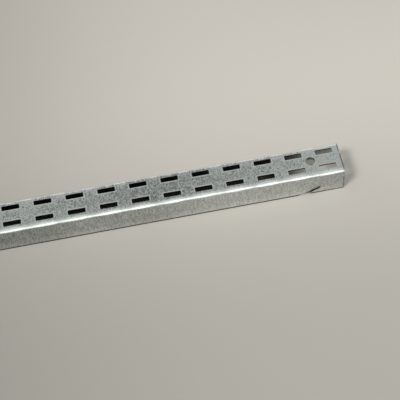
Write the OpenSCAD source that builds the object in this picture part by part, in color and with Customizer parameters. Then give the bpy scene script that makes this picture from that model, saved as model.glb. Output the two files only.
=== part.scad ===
// Double track shelf standard: a roll-formed steel channel with two rows of bracket slots,
// lying on its open back. The hang end, with a hook notch in each leg, is at +X.

/* [Channel] */
// Cut length of the standard
length = 609.6; // [152.4:25.4:1219.2]
// Outside width across the legs
width = 28.6; // [27:0.1:40]
// Outside depth from the front face to the back edges of the legs
depth = 25.4; // [18:0.1:32]
// Thickness of the steel strip
sheet = 1.5; // [1:0.1:2]
// Outside radius of the two folds
fold_radius = 3.2; // [2.2:0.1:3.6]

/* [Bracket slots] */
// Distance from one pair of slots to the next
slot_pitch = 25.4; // [20:0.1:40]
// Length of a slot, along the standard
slot_length = 14; // [8:0.1:16]
// Width of a slot
slot_width = 4.3; // [3:0.1:5]
// Radius in the corners of a slot
slot_corner = 0.6; // [0.2:0.1:1.2]
// Distance between the centre lines of the two tracks
track_spacing = 14.8; // [13:0.1:16]
// Distance from an end to the centre of the nearest slot pair
end_margin = 12.7; // [10:0.1:20]

/* [Wall screws] */
// Diameter of the screw holes
screw_hole = 8; // [4:0.1:9]

/* [Hang hooks] */
// Distance from the hang end to the top of the lead-in ramp
hook_setback = 29.4; // [24:0.1:60]
// Length of the ramp along the back edge of the leg
ramp_length = 9.6; // [5:0.1:20]
// Rise of the ramp above the back edge
ramp_rise = 4; // [3:0.1:6]
// Distance along the standard from the top of the ramp to the blunt nose of the hook
nose_gap = 2; // [1.4:0.1:4]
// Width of the slit that takes the lip of a hang rail
slit_width = 2.6; // [1.6:0.1:3.6]
// Length of the slit's upper side, from the ramp to its round end
slit_run = 9; // [6:0.1:14]
// Slope of the slit, rising towards the hang end
slit_slope = 28.5; // [15:0.5:40]

/* [Hidden] */
$fn = 64;

// How far a cutter runs past the faces that it cuts
overcut = 1;
inner_radius = fold_radius - sheet;
hang_end = length / 2;

// Rounding guard, so that a length of whole pitches keeps its last pair
whole = 0.001;
pairs = floor((length - 2 * end_margin) / slot_pitch + whole) + 1;

// Screw holes lie in the gaps after the first pair, halfway down and before the last pair
screw_gaps = [0, floor((pairs - 2) / 2), pairs - 2];

function pair_x(i) = hang_end - end_margin - i * slot_pitch;

// Rectangle with its two top corners rounded, standing on the X axis
module arch(w, h, r) {
    translate([-w / 2, 0]) square([w, h - r]);
    translate([-w / 2 + r, 0]) square([w - 2 * r, h]);
    for (side = [-1, 1])
        translate([side * (w / 2 - r), h - r]) circle(r);
}

// Cross-section of the channel: front web, two folds and two plain legs
module channel_section() {
    difference() {
        arch(width, depth, fold_radius);
        translate([0, -overcut])
            arch(width - 2 * sheet, depth - sheet + overcut, inner_radius);
    }
}

// Turns a flat outline on edge and pushes it through both legs: its X runs along the standard
// from the hang end, and its Y runs up from the back edges
module through_legs() {
    translate([hang_end, width / 2 + overcut, 0])
        rotate([90, 0, 0])
            mirror([1, 0, 0])
                linear_extrude(width + 2 * overcut) children();
}

module rolled_channel() {
    translate([-length / 2, 0, 0])
        rotate([90, 0, 90])
            linear_extrude(length) channel_section();
}

// Plan of one bracket slot, centred
module slot_plan() {
    square([slot_length - 2 * slot_corner, slot_width], center = true);
    square([slot_length, slot_width - 2 * slot_corner], center = true);
    for (x = [-1, 1], y = [-1, 1])
        translate([x * (slot_length / 2 - slot_corner), y * (slot_width / 2 - slot_corner)])
            circle(slot_corner);
}

// Places a cutter that passes through the front web
module through_web() {
    translate([0, 0, depth - sheet - overcut])
        linear_extrude(sheet + 2 * overcut) children();
}

module bracket_slots() {
    through_web()
        for (i = [0 : pairs - 1], side = [-1, 1])
            translate([pair_x(i), side * track_spacing / 2]) slot_plan();
}

module screw_holes() {
    for (gap = screw_gaps)
        translate([pair_x(gap) - slot_pitch / 2, 0, depth - sheet - overcut])
            cylinder(d = screw_hole, h = sheet + 2 * overcut);
}

// Outline of the hook notch: X from the hang end, Y up from the back edge.
// A ramp leads the lip of the hang rail past the nose of the hook and into a sloping slit.
module hook_notch_outline() {
    nose = hook_setback - nose_gap;
    ramp_foot = hook_setback + ramp_length;
    polygon([
        [ramp_foot, 0],
        [hook_setback, ramp_rise],
        [nose, ramp_rise + nose_gap * tan(slit_slope)],
        [nose, -overcut],
        [ramp_foot, -overcut]
    ]);
    translate([hook_setback, ramp_rise])
        rotate(-slit_slope)
            mirror([1, 0]) {
                translate([0, -slit_width]) square([slit_run, slit_width]);
                translate([slit_run, -slit_width / 2]) circle(d = slit_width);
            }
}

module hook_notches() {
    through_legs() hook_notch_outline();
}

module shelf_standard() {
    color("silver")
        difference() {
            rolled_channel();
            bracket_slots();
            screw_holes();
            hook_notches();
        }
}

shelf_standard();
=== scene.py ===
"""Looks of the double track shelf standard: its folded strip, zinc finish, floor, light and camera."""

import math

import bmesh
import bpy
import numpy as np
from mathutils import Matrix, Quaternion, Vector
from mathutils.geometry import delaunay_2d_cdt


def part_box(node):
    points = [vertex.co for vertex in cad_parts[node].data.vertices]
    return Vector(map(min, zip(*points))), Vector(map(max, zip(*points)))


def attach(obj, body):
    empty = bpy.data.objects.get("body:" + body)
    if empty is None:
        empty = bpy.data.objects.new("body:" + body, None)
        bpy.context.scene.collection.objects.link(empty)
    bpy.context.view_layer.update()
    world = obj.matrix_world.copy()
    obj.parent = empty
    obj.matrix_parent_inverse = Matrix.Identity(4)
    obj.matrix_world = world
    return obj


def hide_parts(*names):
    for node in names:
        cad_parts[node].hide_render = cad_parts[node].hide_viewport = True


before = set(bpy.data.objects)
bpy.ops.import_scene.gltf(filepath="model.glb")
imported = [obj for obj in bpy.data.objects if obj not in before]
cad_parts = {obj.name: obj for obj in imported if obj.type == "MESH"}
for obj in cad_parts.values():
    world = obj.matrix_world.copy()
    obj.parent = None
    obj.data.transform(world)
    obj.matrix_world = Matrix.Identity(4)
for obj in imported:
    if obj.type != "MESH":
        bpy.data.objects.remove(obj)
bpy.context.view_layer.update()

NODE = "shelf_standard"
SLOT = "galvanised_steel"
MM = 0.001

# Sizes of the strip, in millimetres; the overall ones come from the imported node
low, high = (np.array(corner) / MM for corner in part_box(NODE))
LENGTH, WIDTH, DEPTH = high - low
HANG_END = high[0]
SHEET = 1.5
FOLD_RADIUS = 3.2
SLOT_PITCH = 25.4
SLOT_LENGTH = 14.0
SLOT_WIDTH = 4.3
SLOT_CORNER = 0.6
TRACK_SPACING = 14.8
END_MARGIN = 12.7
SCREW_HOLE = 8.0
HOOK_SETBACK = 29.4
RAMP_LENGTH = 9.6
RAMP_RISE = 4.0
NOSE_GAP = 2.0
SLIT_WIDTH = 2.6
SLIT_RUN = 9.0
SLIT_SLOPE = math.radians(28.5)
PAIRS = round((LENGTH - 2 * END_MARGIN) / SLOT_PITCH) + 1
SCREW_GAPS = (0, (PAIRS - 2) // 2, PAIRS - 2)

# The strip laid flat: half the web, then a fold, then a leg, on each side of its middle
WEB_HALF = WIDTH / 2 - FOLD_RADIUS
LEG_TOP = WEB_HALF + FOLD_RADIUS * math.pi / 2
STRIP_HALF = LEG_TOP + DEPTH - FOLD_RADIUS

# Punched and sheared edges: rolled over on the front, nearly sharp on the back
ROLL_INSET = 0.24
ROLL_DEPTH = 0.16
ROLL_STEPS = 4
BACK_ROUND = 0.10
BACK_STEPS = 2

# Steps of the mesh: lengths in millimetres, and numbers of steps along, across or round a part
ALONG_STEP = 2.54
WEB_STEPS = 12
FOLD_STEPS = 10
LEG_STEPS = 8
EDGE_CLEARANCE = 0.9
SLOT_STEP = 1.6
CORNER_STEPS = 4
HOLE_STEPS = 48
RAMP_STEPS = 8
SLIT_STEPS = 8
SLIT_END_STEPS = 10
LIP_STEPS = 7
NOSE_STEPS = 3
SAME_POINT = 1e-6

# Beside each slot the punched strip gives more, so the fold opens a little there
OPEN_RADIUS = 3.8
OPEN_REACH = 9.0
OPEN_HOLD = 1.6


def arc(centre, radius, start, stop, steps):
    """Points on an arc, both ends included, with the angles in radians."""
    turn = np.linspace(start, stop, steps + 1)
    return np.array(centre) + radius * np.column_stack([np.cos(turn), np.sin(turn)])


def line(start, stop, steps):
    """Points from start towards stop, without stop itself."""
    share = np.linspace(0, 1, steps, endpoint=False)[:, None]
    return np.array(start) + share * (np.array(stop) - np.array(start))


def pair_x(number):
    """Place of a slot pair along the standard, counted from the hang end."""
    return HANG_END - END_MARGIN - number * SLOT_PITCH


def slot_outline(x, across):
    """A bracket slot's outline, with the metal on its left."""
    reach = np.array([SLOT_LENGTH / 2 - SLOT_CORNER, SLOT_WIDTH / 2 - SLOT_CORNER])
    corners = []
    for turn, side in enumerate([(1, -1), (-1, -1), (-1, 1), (1, 1)]):
        start = -turn * math.pi / 2
        stop = start - math.pi / 2
        corners.append(arc((x, across) + reach * side, SLOT_CORNER, start, stop, CORNER_STEPS))
    outline = []
    for corner, following in zip(corners, corners[1:] + corners[:1]):
        straight = np.linalg.norm(following[0] - corner[-1])
        outline.append(corner)
        outline.append(line(corner[-1], following[0], max(2, round(straight / SLOT_STEP)))[1:])
    return np.vstack(outline)


def screw_outline(x):
    """A screw hole's outline, with the metal on its left."""
    return arc((x, 0), SCREW_HOLE / 2, 0, -2 * math.pi, HOLE_STEPS)[:-1]


def notch_outline():
    """The hook notch from ramp foot to nose foot: places along the standard and heights over the edge."""
    slope = np.array([math.cos(SLIT_SLOPE), math.sin(SLIT_SLOPE)])
    down = np.array([math.sin(SLIT_SLOPE), -math.cos(SLIT_SLOPE)])
    ramp_top = np.array([HANG_END - HOOK_SETBACK, RAMP_RISE])
    ramp_foot = np.array([ramp_top[0] - RAMP_LENGTH, 0])
    upper_end = ramp_top + SLIT_RUN * slope
    lower_end = upper_end + SLIT_WIDTH * down
    lower_start = ramp_top + SLIT_WIDTH * down
    nose = ramp_top[0] + NOSE_GAP
    tip = np.array([nose, lower_start[1] + (nose - lower_start[0]) * math.tan(SLIT_SLOPE)])
    upright = math.pi / 2 + SLIT_SLOPE
    return np.vstack([
        line(ramp_foot, ramp_top, RAMP_STEPS),
        line(ramp_top, upper_end, SLIT_STEPS),
        arc((upper_end + lower_end) / 2, SLIT_WIDTH / 2, upright, upright - math.pi, SLIT_END_STEPS),
        line(lower_end, tip, LIP_STEPS)[1:],
        line(tip, (nose, 0), NOSE_STEPS),
        [(nose, 0)],
    ])


def across_lines():
    """Places of the mesh lines across the strip, edge to edge, closer together in the folds."""
    leg = np.linspace(STRIP_HALF, LEG_TOP, LEG_STEPS + 1)[:-1]
    fold = np.linspace(LEG_TOP, WEB_HALF, FOLD_STEPS + 1)[:-1]
    web = np.linspace(-WEB_HALF, WEB_HALF, WEB_STEPS + 1)
    return np.concatenate([-leg, -fold, web, fold[::-1], leg[::-1]])


def strip_outline():
    """The whole strip's outline, with the metal on its left and a hook notch in each long side."""
    notch = notch_outline() + (0, -STRIP_HALF)
    corner = np.array([HANG_END, -STRIP_HALF])
    plain = line((-HANG_END, -STRIP_HALF), notch[0], round((notch[0][0] + HANG_END) / ALONG_STEP))
    hook = line(notch[-1], corner, round((HANG_END - notch[-1][0]) / ALONG_STEP))[1:]
    near_side = np.vstack([plain, notch, hook, [corner]])
    far_side = (near_side * (1, -1))[::-1]
    inner_lines = across_lines()[1:-1]
    hang_end = np.column_stack([np.full(len(inner_lines), HANG_END), inner_lines])
    return np.vstack([near_side, hang_end, far_side, -hang_end])


def inset(outline, distance):
    """The outline moved by a distance into the metal on its left, with mitred corners."""
    ahead = np.roll(outline, -1, axis=0) - outline
    ahead /= np.linalg.norm(ahead, axis=1)[:, None]
    left = np.column_stack([-ahead[:, 1], ahead[:, 0]])
    left_before = np.roll(left, 1, axis=0)
    lean = 1 + np.sum(left * left_before, axis=1)
    return outline + distance * (left + left_before) / lean[:, None]


def within(outline, points):
    """True for each point that lies inside the outline."""
    inside = np.zeros(len(points), bool)
    x, across = points.T
    for (x0, a0), (x1, a1) in zip(outline, np.roll(outline, -1, axis=0)):
        if a0 != a1:
            crosses = (a0 > across) != (a1 > across)
            inside ^= crosses & (x < x0 + (across - a0) * (x1 - x0) / (a1 - a0))
    return inside


def in_metal(outlines, points):
    """True for each point inside the strip's outline, the first one, and outside every hole."""
    kept = within(outlines[0], points)
    for hole in outlines[1:]:
        kept &= ~within(hole, points)
    return kept


def edge_profile():
    """Insets and depths of the rings round a cut edge, from the front of the sheet to its back."""
    front = np.linspace(0, math.pi / 2, ROLL_STEPS + 1)
    back = np.linspace(0, math.pi / 2, BACK_STEPS + 1)
    insets = np.concatenate([ROLL_INSET * (1 - np.sin(front)), BACK_ROUND * (1 - np.cos(back))])
    depths = np.concatenate([ROLL_DEPTH * (1 - np.cos(front)), SHEET - BACK_ROUND * (1 - np.sin(back))])
    return list(zip(insets, depths))


def fold_strip(points, depths):
    """Places on the folded channel, in metres, of points on the flat strip at depths under its front."""
    x, across = points.T
    side = np.sign(across)
    reach = np.abs(across)
    from_pair = np.abs((x - pair_x(0) + SLOT_PITCH / 2) % SLOT_PITCH - SLOT_PITCH / 2)
    opened = 0.5 + 0.5 * np.cos(math.pi * np.clip(from_pair / OPEN_REACH, 0, 1))
    fold = FOLD_RADIUS + (OPEN_RADIUS - FOLD_RADIUS) * np.minimum(1, OPEN_HOLD * opened)
    web_half = WIDTH / 2 - fold
    leg_top = web_half + fold * math.pi / 2
    leg_share = np.clip((STRIP_HALF - reach) / (STRIP_HALF - leg_top), 0, 1)
    angle = np.clip((reach - web_half) / fold, 0, math.pi / 2)
    radius = fold - depths
    y = side * (np.minimum(reach, web_half) + radius * np.sin(angle))
    z = (DEPTH - fold) * leg_share + radius * np.cos(angle)
    return np.column_stack([x, y, z]) * MM


def fill_face(rings, lattice):
    """Triangles over the metal between the rings, numbered through the rings and then the lattice."""
    points = np.vstack(rings + [lattice])
    edges = []
    first = 0
    for ring in rings:
        numbers = np.arange(len(ring)) + first
        edges += zip(numbers.tolist(), np.roll(numbers, -1).tolist())
        first += len(ring)
    corners = [Vector(point) for point in points]
    _, _, faces, sources, _, _ = delaunay_2d_cdt(corners, edges, [], 0, SAME_POINT)
    names = np.array([source[0] for source in sources])
    triangles = names[np.array(faces)]
    return triangles[in_metal(rings, points[triangles].mean(axis=1))]


def strip_mesh():
    """The punched and folded strip as a closed mesh."""
    outlines = [strip_outline()]
    for number in range(PAIRS):
        outlines += [slot_outline(pair_x(number), side * TRACK_SPACING / 2) for side in (-1, 1)]
    outlines += [screw_outline(pair_x(gap) - SLOT_PITCH / 2) for gap in SCREW_GAPS]

    along = np.linspace(-HANG_END, HANG_END, round(LENGTH / ALONG_STEP) + 1)
    lattice = np.array(np.meshgrid(along, across_lines())).reshape(2, -1).T
    lattice = lattice[in_metal([inset(outline, EDGE_CLEARANCE) for outline in outlines], lattice)]

    points, depths, bare, faces = [], [], [], []
    profile = edge_profile()
    rings = [[inset(outline, distance) for outline in outlines] for distance, _ in profile]
    count = sum(len(outline) for outline in outlines)
    for number, (_, depth) in enumerate(profile):
        points += rings[number]
        depths.append(np.full(count, depth))
        bare.append(np.full(count, 0 if number < ROLL_STEPS - 1 else 1))
    ring_points = count * len(profile)
    for depth in (0, SHEET):
        points.append(lattice)
        depths.append(np.full(len(lattice), depth))
        bare.append(np.zeros(len(lattice)))

    first = 0
    for outline in outlines:
        here = np.arange(len(outline)) + first
        ahead = np.roll(here, -1)
        for row in range(len(profile) - 1):
            upper, lower = row * count, (row + 1) * count
            faces += np.column_stack([here + lower, ahead + lower, ahead + upper, here + upper]).tolist()
        first += len(outline)

    front = fill_face(rings[0], lattice)
    back = fill_face(rings[-1], lattice)
    front_names = np.concatenate([np.arange(count), np.arange(len(lattice)) + ring_points])
    back_names = np.concatenate([
        np.arange(count) + count * (len(profile) - 1),
        np.arange(len(lattice)) + ring_points + len(lattice),
    ])
    faces += front_names[front].tolist()
    faces += back_names[back][:, ::-1].tolist()

    mesh = bpy.data.meshes.new(NODE)
    depths = np.concatenate(depths)
    mesh.from_pydata(fold_strip(np.vstack(points), depths).tolist(), [], faces)
    work = bmesh.new()
    work.from_mesh(mesh)
    bmesh.ops.recalc_face_normals(work, faces=work.faces)
    work.to_mesh(mesh)
    work.free()
    for name, values in (("inside", depths / SHEET), ("bare", np.concatenate(bare))):
        mesh.attributes.new(name, "FLOAT", "POINT").data.foreach_set("value", values)
    mesh.shade_smooth()
    return mesh


class Value:
    """A socket in a node tree. Python's operators on it add Math nodes."""

    def __init__(self, shader, socket):
        self.shader = shader
        self.socket = socket

    def __add__(self, other):
        return self.shader.math("ADD", self, other)

    def __sub__(self, other):
        return self.shader.math("SUBTRACT", self, other)

    def __rsub__(self, other):
        return self.shader.math("SUBTRACT", other, self)

    def __mul__(self, other):
        return self.shader.math("MULTIPLY", self, other)

    __radd__ = __add__
    __rmul__ = __mul__


class Shader:
    """A material's or world's node tree."""

    def __init__(self, owner):
        owner.use_nodes = True
        self.tree = owner.node_tree
        self.tree.nodes.clear()

    def node(self, kind, settings=None, inputs=None, output=0):
        """Adds a node with its settings and its sockets' values or links. Returns one of its outputs."""
        made = self.tree.nodes.new(kind)
        for name, setting in (settings or {}).items():
            setattr(made, name, setting)
        for name, value in (inputs or {}).items():
            if isinstance(value, Value):
                self.tree.links.new(value.socket, made.inputs[name])
            else:
                made.inputs[name].default_value = value
        return Value(self, made.outputs[output]) if made.outputs else None

    def math(self, operation, first, second=0.0):
        """One step of arithmetic."""
        return self.node("ShaderNodeMath", {"operation": operation}, {0: first, 1: second})

    def size(self, value):
        """The value without its sign."""
        return self.math("ABSOLUTE", value)

    def larger(self, first, second):
        """The larger of two values."""
        return self.math("MAXIMUM", first, second)

    def parts(self, vector, axes):
        """The parts of a vector along the given axes."""
        return [self.node("ShaderNodeSeparateXYZ", {}, {0: vector}, axis) for axis in axes]

    def stretch(self, vector, factors):
        """The vector with each of its parts times a factor."""
        return self.node("ShaderNodeVectorMath", {"operation": "MULTIPLY"}, {0: vector, 1: factors})

    def mix(self, share, first, second):
        """Blends two colours."""
        return self.node("ShaderNodeMix", {"data_type": "RGBA"}, {0: share, 6: first, 7: second}, 2)

    def noise(self, place, scale, detail):
        """A cloudy level from 0 to 1."""
        inputs = {"Vector": place, "Scale": scale, "Detail": detail}
        return self.node("ShaderNodeTexNoise", {}, inputs, "Fac")

    def spangle(self, place, scale):
        """A random level for each crystal of the given number to a metre."""
        cells = self.node("ShaderNodeTexVoronoi", {}, {"Vector": place, "Scale": scale}, "Color")
        return self.node("ShaderNodeSeparateColor", {}, {"Color": cells}, "Red")

    def spread(self, value, low, high, to_low, to_high):
        """Carries a value from one range to another, without going past its ends."""
        inputs = {"Value": value, 1: low, 2: high, 3: to_low, 4: to_high}
        return self.node("ShaderNodeMapRange", {"clamp": True}, inputs)

    def fade(self, value, low, high, to_low, to_high):
        """Carries a value as spread does, but eases in and out."""
        inputs = {"Value": value, 1: low, 2: high, 3: to_low, 4: to_high}
        return self.node("ShaderNodeMapRange", {"interpolation_type": "SMOOTHERSTEP"}, inputs)

    def band(self, along, depth, radians, darkest):
        """A slow wave along the standard, from twice its depth at the darkest place down to nothing."""
        return depth + depth * self.math("COSINE", radians * (along - darkest))


# Colours of the finish, and of its painted light and shade
ZINC_DARK = (0.20, 0.22, 0.215, 1)
ZINC_LIGHT = (0.92, 0.95, 0.93, 1)
# Painted shade inside the channel
INSIDE_SHADE_COLOUR = (0.04, 0.04, 0.038, 1)
# Colour of a pale painted light patch on the inside
LIGHT_PATCH_COLOUR = (0.92, 0.90, 0.85, 1)
# Dark bare steel of the cut edges, also the colour of the painted contact shadow along the bottom of the
# legs
BARE_AND_SHADOW_COLOUR = (0.045, 0.04, 0.035, 1)

# Grain of the zinc: crystals to a metre, and the scale and detail of the softer patterns
CRYSTAL_SQUEEZE = (1.6, 1.0, 1.0)
BLOOM_SCALE = 420.0
CRYSTAL_SCALE = 900.0
FLECK_SCALE = 1700.0
STREAK_SQUEEZE = (700.0, 700.0, 90.0)
STREAK_NOISE = (1.0, 2.0)
CLOUD_NOISE = (16.0, 3.0)
SMEAR_NOISE = (240.0, 2.0)
WEAR_NOISE = (160.0, 1.0)

# How much of each grain shows on the web, on the legs and in the folds, the level that it is added to,
# and the change beside a slot pair
WEB_BLOOM = 0.35
WEB_CRYSTAL = 0.76
WEB_FLECK = 0.30
WEB_LEVEL = 0.13
WEB_PAIR = 0.09
LEG_CRYSTAL = 0.40
LEG_FLECK = 0.20
LEG_STREAK = 0.50
LEG_LEVEL = -0.06
CLOUD_SHARE = 0.4
FOLD_SMEAR = 0.5
FOLD_LEVEL = 0.37
# Painted light in the folds: the folds lighter beside each slot pair, the far fold lighter between the
# pairs
FOLD_PAIR_HIGHLIGHT = 0.18
FAR_FOLD_LIGHT = 0.15
FAR_FOLD_PAIR_SHADE = 0.30

# Relief of the crystals, with its depth in metres
RELIEF_FLECK = 0.5
RELIEF_STRENGTH = 0.3
RELIEF_DEPTH = 0.0002

# Slow waves of light and dark along the length: depth, radians to a metre and darkest place in metres
WEB_BAND = (0.19, 24.0, 0.15)
# The legs' wave is painted shade, darkest near the middle of the standard
LEG_SHADE_BAND = (0.125, 14.0, 0.02)

# Ranges of the finish, each from a low and a high value to a level at either. Places are in metres.
FACES_SIDE = (0.6, 0.95, 0.0, 1.0)
FLAT_FACE = (0.90, 0.99, 0.0, 1.0)
BESIDE_SLOT = (-0.001, 0.003, 1.0, 0.0)
# Painted highlights: lighter bands on the web beside the near and the far fold, which widen the folds'
# highlights
NEAR_FOLD_HIGHLIGHT = (-0.0110, -0.0094, 0.34, 0.0)
NEAR_IN_GAPS = 0.6
FAR_FOLD_HIGHLIGHT = (0.0072, 0.0102, 0.0, 0.30)
# Painted highlights round the slots and screw holes
SLOT_RIM = (0.0004, 0.0013, 1.1, 0.0)
SLOT_RIM_SIDE = (0.0094, 0.0097, 1.0, 0.0)
HOLE_RIM = (0.0044, 0.0052, 0.6, 0.0)
# Painted light: the web lighter towards the hang end
HANG_END_HIGHLIGHT = (0.262, 0.296, 0.0, 0.30)
# Painted light: the legs lighter towards the bottom, where they mirror the bright floor
LOWER_LEG_LIGHT = (0.001, 0.009, 0.24, 0.0)
FAR_SIDE = (0.0, 0.005, 0.0, 1.0)
# Painted shade: the inside of the channel darker, except near the ends
INSIDE_SHADE = (0.255, 0.303, 0.62, 0.0)
# Painted light: a pale, less metallic patch low on the inside of the legs near the ends
LIGHT_PATCH_START = (0.270, 0.277, 0.0, 1.0)
LIGHT_PATCH_STOP = (0.288, 0.293, 1.0, 0.0)
LIGHT_PATCH_TOP = (0.0080, 0.0100, 0.9, 0.0)
# Painted contact shadow: a dark line along the bottom of the legs, fainter at the hang end
FOOT = (0.0012, 0.0019, 0.95, 0.0)
HANG_FOOT = (0.275, 0.300, 1.0, 0.7)
SHEARED_END = (0.3036, 0.3042, 0.0, 1.0)
SHEAR_WEAR = (0.40, 0.55, 0.25, 0.75)
CUT_EDGE = (0.3030, 0.3040, 0.97, 0.80)
FAR_EDGE = (0.0100, 0.0120, 1.0, 0.3)
ROUGHNESS = (0.2, 0.8, 0.44, 0.30)


def rim_highlights(shader, past_end, from_middle, across):
    """Painted highlights round the slots and screw holes."""
    past_side = (TRACK_SPACING - SLOT_WIDTH) * MM / 2 - across
    past_slot = shader.larger(past_end, past_side)
    slot_rim = shader.spread(past_slot, *SLOT_RIM) * shader.spread(across, *SLOT_RIM_SIDE)
    end_hole = (pair_x(0) - SLOT_PITCH / 2) * MM
    from_screw = shader.math("MINIMUM", shader.size(from_middle - end_hole), from_middle)
    from_hole = shader.math("SQRT", from_screw * from_screw + across * across)
    return shader.larger(slot_rim, shader.spread(from_hole, *HOLE_RIM))


def galvanised_steel():
    """Zinc: a fine spangle, drawn out on the legs, smeared in the folds and gone from the cut edges, with
    painted highlights on the web and in the folds, and painted shade inside and along the bottom of the
    legs.
    """
    material = bpy.data.materials.new(SLOT)
    shader = Shader(material)
    place = shader.node("ShaderNodeTexCoord", output="Object")
    facing = shader.node("ShaderNodeNewGeometry", output="Normal")
    inside = shader.node("ShaderNodeAttribute", {"attribute_name": "inside"}, output="Fac")
    bare = shader.node("ShaderNodeAttribute", {"attribute_name": "bare"}, output="Fac")
    along, sideward, height = shader.parts(place, "XYZ")
    across = shader.size(sideward)
    from_middle = shader.size(along)
    sideways, upright = [shader.size(part) for part in shader.parts(facing, "YZ")]
    on_leg = shader.spread(sideways, *FACES_SIDE)
    flat = shader.spread(shader.larger(sideways, upright), *FLAT_FACE)

    narrow = shader.stretch(place, CRYSTAL_SQUEEZE)
    bloom = shader.spangle(narrow, BLOOM_SCALE)
    crystal = shader.spangle(narrow, CRYSTAL_SCALE)
    fleck = shader.spangle(narrow, FLECK_SCALE)
    streak = shader.noise(shader.stretch(place, STREAK_SQUEEZE), *STREAK_NOISE)
    cloud = shader.noise(place, *CLOUD_NOISE)
    smear = shader.noise(place, *SMEAR_NOISE)
    worn = shader.noise(place, *WEAR_NOISE)

    between_pairs = shader.math("PINGPONG", from_middle, SLOT_PITCH * MM / 2)
    past_end = (SLOT_PITCH - SLOT_LENGTH) * MM / 2 - between_pairs
    beside = shader.spread(past_end, *BESIDE_SLOT)
    # Painted highlights on the web beside the folds
    near_fold_highlight = shader.spread(sideward, *NEAR_FOLD_HIGHLIGHT) * (NEAR_IN_GAPS + (1.0 - NEAR_IN_GAPS) * beside)
    far_fold_highlight = shader.spread(sideward, *FAR_FOLD_HIGHLIGHT) * (1.0 - beside)
    # Painted light on the web: the fold bands, the hang end and the rims round the holes
    bright = near_fold_highlight + far_fold_highlight + shader.spread(along, *HANG_END_HIGHLIGHT)
    bright = bright + rim_highlights(shader, past_end, from_middle, across)
    web_grain = WEB_BLOOM * bloom + WEB_CRYSTAL * crystal + WEB_FLECK * fleck
    on_web = web_grain + WEB_LEVEL - WEB_PAIR * beside - shader.band(along, *WEB_BAND) + bright
    leg_grain = LEG_CRYSTAL * crystal + LEG_FLECK * fleck + LEG_STREAK * streak
    # Painted light on the legs, lighter towards the bottom
    on_side = leg_grain + LEG_LEVEL - shader.band(along, *LEG_SHADE_BAND) + shader.spread(height, *LOWER_LEG_LIGHT)
    spangle_and_painted_light = on_web + on_leg * (on_side - on_web) + CLOUD_SHARE * cloud - CLOUD_SHARE / 2
    # Painted light in the folds, beside and between the slot pairs
    far_fold_light = shader.spread(sideward, *FAR_SIDE) * (FAR_FOLD_LIGHT - FAR_FOLD_PAIR_SHADE * beside)
    smeared = FOLD_LEVEL + FOLD_SMEAR * smear + FOLD_PAIR_HIGHLIGHT * beside + far_fold_light
    tone = smeared + flat * (spangle_and_painted_light - smeared)

    # Painted shade inside the channel, away from the ends
    inside_shade = inside * shader.spread(from_middle, *INSIDE_SHADE)
    # Painted light: a pale patch low on the inside near the ends
    light_patch_place = inside * shader.spread(from_middle, *LIGHT_PATCH_START) * shader.spread(from_middle, *LIGHT_PATCH_STOP)
    light_patch = light_patch_place * shader.spread(height, *LIGHT_PATCH_TOP)
    # Painted contact shadow along the bottom of the legs
    foot = shader.spread(height, *FOOT) * shader.spread(along, *HANG_FOOT)
    sheared = shader.spread(from_middle, *SHEARED_END) * shader.spread(worn, *SHEAR_WEAR)
    punched = bare * shader.spread(from_middle, *CUT_EDGE) * shader.spread(sideward, *FAR_EDGE)
    stain_and_shadow = shader.larger(shader.larger(punched, foot), sheared)
    zinc = shader.mix(tone, ZINC_DARK, ZINC_LIGHT)
    inside_shaded = shader.mix(inside_shade, zinc, INSIDE_SHADE_COLOUR)
    with_light_patch = shader.mix(light_patch, inside_shaded, LIGHT_PATCH_COLOUR)
    relief = flat * (crystal + RELIEF_FLECK * fleck)
    surface = shader.node("ShaderNodeBsdfPrincipled", {}, {
        "Base Color": shader.mix(stain_and_shadow, with_light_patch, BARE_AND_SHADOW_COLOUR),
        "Roughness": shader.spread(tone, *ROUGHNESS),
        "Metallic": 1.0 - light_patch,
        "Normal": shader.node("ShaderNodeBump", {}, {
            "Strength": RELIEF_STRENGTH,
            "Distance": RELIEF_DEPTH,
            "Height": relief,
        }),
    })
    shader.node("ShaderNodeOutputMaterial", {}, {"Surface": surface})
    return material


def make_standard():
    """The detailed standard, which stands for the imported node."""
    piece = bpy.data.objects.new("galvanised_standard", strip_mesh())
    bpy.context.scene.collection.objects.link(piece)
    piece.data.materials.append(galvanised_steel())
    flats = piece.modifiers.new("flat_faces", "WEIGHTED_NORMAL")
    flats.keep_sharp = True
    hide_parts(NODE)
    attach(piece, "root")


# Floor: its colours, and the places in metres where one gives way to the next. The colours are painted
# light and shade: lighter beyond the standard, darker towards the left, and darker under the channel.
FLOOR_SIZE = 60
FLOOR_NEAR = (0.55, 0.52, 0.47, 1)
FLOOR_FAR = (0.79, 0.74, 0.67, 1)
FLOOR_SHADE = (0.30, 0.285, 0.255, 1)
# Painted shade on the floor under the channel
FLOOR_UNDER_SHADE = (0.04, 0.038, 0.035, 1)
FLOOR_ROUGHNESS = 0.75
NEAR_TO_FAR = (-0.16, 0.16, 0.0, 1.0)
SHADE_LEFT = (-0.25, 0.30, 0.80, 0.0)
UNDER_WIDTH = (0.0118, 0.0126, 0.75, 0.0)
UNDER_LENGTH = (0.258, 0.279, 1.0, 0.0)

# Window light on the floor before the standard, as the near fold mirrors it
SHEEN_AHEAD = (-0.16, -0.045, 1.0, 0.0)
SHEEN_RIGHT = (0.0, 0.35, 0.40, 1.0)
SHEEN_STRENGTH = 1.5
BLACK = (0, 0, 0, 1)
WHITE = (1, 1, 1, 1)


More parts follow.
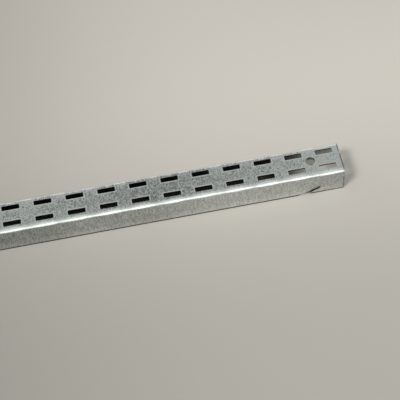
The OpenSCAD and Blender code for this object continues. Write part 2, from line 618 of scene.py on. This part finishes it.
def make_floor():
    """A pale floor under the back edges, with painted light and shade: lighter beyond the standard,
    darker to the left and where the channel covers it.
    """
    bpy.ops.mesh.primitive_plane_add(size=FLOOR_SIZE)
    floor = bpy.context.object
    floor.name = "floor"
    material = bpy.data.materials.new("floor")
    shader = Shader(material)
    place = shader.node("ShaderNodeTexCoord", output="Object")
    right, ahead = shader.parts(place, "XY")
    glossy = shader.node("ShaderNodeLightPath", output="Is Glossy Ray")
    sheen = glossy * shader.spread(ahead, *SHEEN_AHEAD) * shader.spread(right, *SHEEN_RIGHT)
    # Painted light and shade on the floor: lighter beyond the standard, darker to the left
    painted_light_tint = shader.mix(shader.fade(ahead, *NEAR_TO_FAR), FLOOR_NEAR, FLOOR_FAR)
    shaded = shader.mix(shader.fade(right, *SHADE_LEFT), painted_light_tint, FLOOR_SHADE)
    # Painted shade on the floor under the channel
    in_width = shader.spread(shader.size(ahead), *UNDER_WIDTH)
    under = in_width * shader.spread(shader.size(right), *UNDER_LENGTH)
    surface = shader.node("ShaderNodeBsdfPrincipled", {}, {
        "Base Color": shader.mix(under, shaded, FLOOR_UNDER_SHADE),
        "Roughness": FLOOR_ROUGHNESS,
        "Emission Color": shader.mix(sheen, BLACK, WHITE),
        "Emission Strength": SHEEN_STRENGTH,
    })
    shader.node("ShaderNodeOutputMaterial", {}, {"Surface": surface})
    floor.data.materials.append(material)


# Room: angles turn about the standard's length, from level beyond it, over its top, to level behind
# the camera
ROOM_COLOUR = (0.965, 1.0, 0.975, 1)
WINDOW_TILT = math.radians(50)
WINDOW = (math.radians(138), math.radians(154), 0.0, 1.0)
SKY = (math.radians(55), math.radians(105), 0.0, 1.0)
FAR_WALL = (math.radians(34), math.radians(48), 1.0, 0.0)
GREY_LEVEL = 0.26
SKY_LEVEL = 0.45
WINDOW_LEVEL = 1.1
WINDOW_RISE = 0.7
FAR_WALL_LEVEL = 0.68
FILL_LEVEL = 0.265
BACKDROP_LEVEL = 0.6


def make_room():
    """The room that the zinc mirrors: an even grey, with a bright window low behind the camera."""
    world = bpy.data.worlds.new("room")
    bpy.context.scene.world = world
    shader = Shader(world)
    direction = shader.node("ShaderNodeTexCoord", output="Generated")
    right, ahead, up = shader.parts(direction, "XYZ")
    turn = shader.math("ARCTAN2", up, ahead)
    window = (WINDOW_LEVEL + WINDOW_RISE * right) * shader.spread(turn - WINDOW_TILT * right, *WINDOW)
    sky = SKY_LEVEL * shader.spread(turn, *SKY)
    far_wall = FAR_WALL_LEVEL * shader.spread(turn, *FAR_WALL)
    mirrored = GREY_LEVEL + sky + far_wall + window
    glossy = shader.node("ShaderNodeLightPath", output="Is Glossy Ray")
    seen = shader.node("ShaderNodeLightPath", output="Is Camera Ray")
    strength = FILL_LEVEL + glossy * (mirrored - FILL_LEVEL) + BACKDROP_LEVEL * seen
    light = shader.node("ShaderNodeBackground", {}, {"Color": ROOM_COLOUR, "Strength": strength})
    shader.node("ShaderNodeOutputWorld", {}, {"Surface": light})


def add_softbox(name, place, aim, size, beam, energy):
    """A lamp of the given size and beam that lights the floor but isn't mirrored in the zinc."""
    data = bpy.data.lights.new(name, "AREA")
    data.shape = "RECTANGLE"
    data.size, data.size_y = size
    data.spread = beam
    data.energy = energy
    lamp = bpy.data.objects.new(name, data)
    bpy.context.scene.collection.objects.link(lamp)
    lamp.location = place
    lamp.rotation_mode = "QUATERNION"
    lamp.rotation_quaternion = (Vector(aim) - lamp.location).to_track_quat("-Z", "Y")
    lamp.visible_glossy = False


def make_light():
    """A soft lamp above, to the left of the camera, and a low one that shines into the hang end."""
    add_softbox(
        "softbox",
        place=(-0.95, -0.84, 2.2),
        aim=(0.2, 0, 0),
        size=(0.6, 0.6),
        beam=math.radians(180),
        energy=31,
    )
    add_softbox(
        "end_light",
        place=(1.34, -0.25, 0.62),
        aim=(0.3, 0, 0),
        size=(0.2, 0.3),
        beam=math.radians(50),
        energy=0.52,
    )


# Camera: the angles, lens and framing that the photograph was taken with
AZIMUTH = math.radians(-11.19)
ELEVATION = math.radians(55.73)
ROLL = math.radians(-1.0)
DISTANCE = 0.9052
TARGET = Vector((0.2301, -0.0135, 0.0254))
SENSOR = 36
LENS = 102.28
SHIFT = (-0.135, -0.036)


def make_camera():
    """The photograph's view of the standard."""
    data = bpy.data.cameras.new("camera")
    data.sensor_width = SENSOR
    data.lens = LENS
    data.shift_x, data.shift_y = SHIFT
    camera = bpy.data.objects.new("camera", data)
    bpy.context.scene.collection.objects.link(camera)
    back = Vector((
        math.sin(AZIMUTH) * math.cos(ELEVATION),
        -math.cos(AZIMUTH) * math.cos(ELEVATION),
        math.sin(ELEVATION),
    ))
    camera.location = TARGET + DISTANCE * back
    camera.rotation_mode = "QUATERNION"
    level = (-back).to_track_quat("-Z", "Y")
    camera.rotation_quaternion = level @ Quaternion((0, 0, 1), ROLL)
    bpy.context.scene.camera = camera


bpy.context.scene.view_settings.view_transform = "Standard"
make_camera()
make_floor()
make_room()
make_light()
make_standard()
